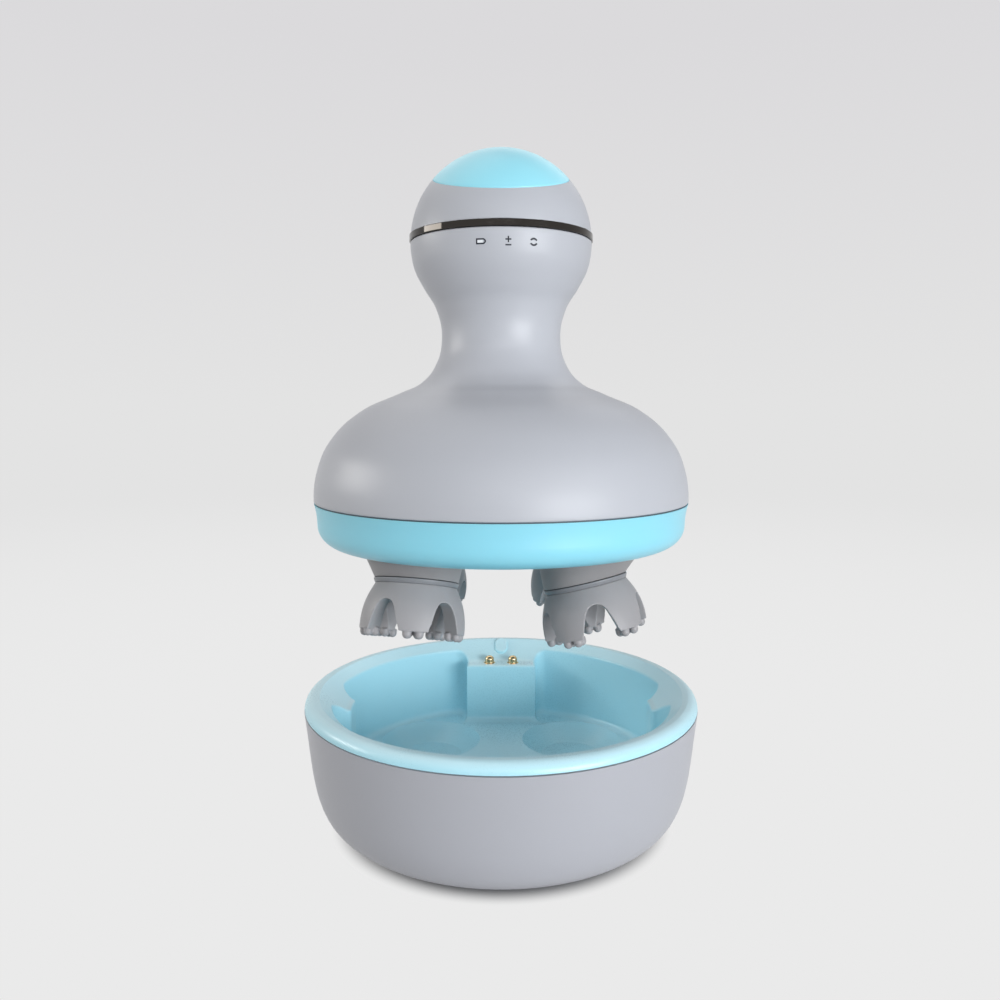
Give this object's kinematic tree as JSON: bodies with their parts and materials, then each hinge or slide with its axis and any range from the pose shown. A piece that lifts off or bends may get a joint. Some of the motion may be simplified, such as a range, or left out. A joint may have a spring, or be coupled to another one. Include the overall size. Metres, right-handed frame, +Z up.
{
  "type": "electric scalp massager",
  "caption": "Handheld scalp massager with a ball grip, waisted neck and domed body over four nodding finger claws, standing above its round charging base.",
  "frame": {"origin": "centre of the charging base's footprint, on the surface it stands on", "axes": "+Z up through base and massager, +Y towards the contact block, the marks and button face -Y"},
  "size_m": [0.108, 0.108, 0.182],
  "materials": {
    "shell_grey": "satin",
    "band_dark": "polished",
    "ring_blue": "satin",
    "seal_dark": "matt",
    "boot_silicone": "matt",
    "claw_silicone": "matt",
    "hub_plastic": "satin",
    "bowl_white": "satin",
    "tray_blue": "gloss",
    "plate_plastic": "fine texture",
    "foot_rubber": "matt",
    "contact_gold": "gold plated",
    "steel": "plain",
    "gear_plastic": "acetal",
    "board_green": "solder mask",
    "switch_black": "plain",
    "battery_wrap": "shrink wrap"
  },
  "bodies": {
    "dock": {"outer_bowl": "bowl_white", "tray": "tray_blue", "base_plate": "plate_plastic", "foot_ring": "foot_rubber", "base_screws": "steel", "charge_board": "board_green", "usb_socket": "steel", "contact_barrels": "contact_gold"},
    "massager": {"main_shell": "shell_grey", "head_shell": "shell_grey", "indicator_band": "band_dark", "tact_switch": "switch_black", "control_board": "board_green", "battery_holder": "plate_plastic", "battery_cell": "battery_wrap", "light_board": "board_green", "lower_ring": "ring_blue", "seam_seal": "seal_dark", "charge_pads": "contact_gold", "gear_deck": "plate_plastic", "case_screws": "steel", "motor_gearbox": "gear_plastic", "motor_can": "steel", "motor_screws": "steel"},
    "button": {"top_button": "ring_blue", "switch_plunger": "switch_black"},
    "sun": {"sun_gear": "gear_plastic", "output_shaft": "steel"},
    "pin_left": {"contact_pin_left": "contact_gold"},
    "pin_right": {"contact_pin_right": "contact_gold"},
    "crank_front_right": {"crank_gear_front_right": "gear_plastic", "crank_shaft_front_right": "steel", "claw_screw_front_right": "steel", "boot_front_right": "boot_silicone"},
    "claw_front_right": {"claw_hub_front_right": "hub_plastic", "claw_front_right": "claw_silicone"},
    "crank_front_left": {"crank_gear_front_left": "gear_plastic", "crank_shaft_front_left": "steel", "claw_screw_front_left": "steel", "boot_front_left": "boot_silicone"},
    "claw_front_left": {"claw_hub_front_left": "hub_plastic", "claw_front_left": "claw_silicone"},
    "crank_back_left": {"crank_gear_back_left": "gear_plastic", "crank_shaft_back_left": "steel", "claw_screw_back_left": "steel", "boot_back_left": "boot_silicone"},
    "claw_back_left": {"claw_hub_back_left": "hub_plastic", "claw_back_left": "claw_silicone"},
    "crank_back_right": {"crank_gear_back_right": "gear_plastic", "crank_shaft_back_right": "steel", "claw_screw_back_right": "steel", "boot_back_right": "boot_silicone"},
    "claw_back_right": {"claw_hub_back_right": "hub_plastic", "claw_back_right": "claw_silicone"}
  },
  "joints": [
    {"name": "dock_lift", "type": "slide", "parent": "dock", "child": "massager", "axis": [0, 0, 1], "range_m": [-0.0447, 0]},
    {"name": "button_press", "type": "slide", "parent": "massager", "child": "button", "axis": [0, 0.3371, -0.9415], "range_m": [0, 0.0009], "stiffness_N_per_m": 800},
    {"name": "contact_pin_left_press", "type": "slide", "parent": "dock", "child": "pin_left", "axis": [0, 0, -1], "range_m": [0, 0.0012], "stiffness_N_per_m": 300},
    {"name": "contact_pin_right_press", "type": "slide", "parent": "dock", "child": "pin_right", "axis": [0, 0, -1], "range_m": [0, 0.0012], "stiffness_N_per_m": 300},
    {"name": "sun_spin", "type": "hinge", "parent": "massager", "child": "sun", "pos_m": [0, 0, 0.0885], "axis": [0, 0, 1], "continuous": true},
    {"name": "crank_front_right_spin", "type": "hinge", "parent": "massager", "child": "crank_front_right", "pos_m": [0.0215, -0.0215, 0.0885], "axis": [0, 0, 1], "continuous": true},
    {"name": "claw_front_right_nod", "type": "hinge", "parent": "crank_front_right", "child": "claw_front_right", "pos_m": [0.0215, -0.0215, 0.06976], "axis": [-0.2285, 0.1541, 0.9613], "continuous": true},
    {"name": "crank_front_left_spin", "type": "hinge", "parent": "massager", "child": "crank_front_left", "pos_m": [-0.0215, -0.0215, 0.0885], "axis": [0, 0, 1], "continuous": true},
    {"name": "claw_front_left_nod", "type": "hinge", "parent": "crank_front_left", "child": "claw_front_left", "pos_m": [-0.0215, -0.0215, 0.06976], "axis": [0.076, 0.265, 0.9613], "continuous": true},
    {"name": "crank_back_left_spin", "type": "hinge", "parent": "massager", "child": "crank_back_left", "pos_m": [-0.0215, 0.0215, 0.0885], "axis": [0, 0, 1], "continuous": true},
    {"name": "claw_back_left_nod", "type": "hinge", "parent": "crank_back_left", "child": "claw_back_left", "pos_m": [-0.0215, 0.0215, 0.06976], "axis": [0.2285, -0.1541, 0.9613], "continuous": true},
    {"name": "crank_back_right_spin", "type": "hinge", "parent": "massager", "child": "crank_back_right", "pos_m": [0.0215, 0.0215, 0.0885], "axis": [0, 0, 1], "continuous": true},
    {"name": "claw_back_right_nod", "type": "hinge", "parent": "crank_back_right", "child": "claw_back_right", "pos_m": [0.0215, 0.0215, 0.06976], "axis": [-0.076, -0.265, 0.9613], "continuous": true}
  ],
  "couplings": [
    {"joint": "crank_front_right_spin", "follows": "sun_spin", "ratio": -1.1111},
    {"joint": "claw_front_right_nod", "follows": "sun_spin", "ratio": 1.1111},
    {"joint": "crank_front_left_spin", "follows": "sun_spin", "ratio": -1.1111},
    {"joint": "claw_front_left_nod", "follows": "sun_spin", "ratio": 1.1111},
    {"joint": "crank_back_left_spin", "follows": "sun_spin", "ratio": -1.1111},
    {"joint": "claw_back_left_nod", "follows": "sun_spin", "ratio": 1.1111},
    {"joint": "crank_back_right_spin", "follows": "sun_spin", "ratio": -1.1111},
    {"joint": "claw_back_right_nod", "follows": "sun_spin", "ratio": 1.1111}
  ]
}
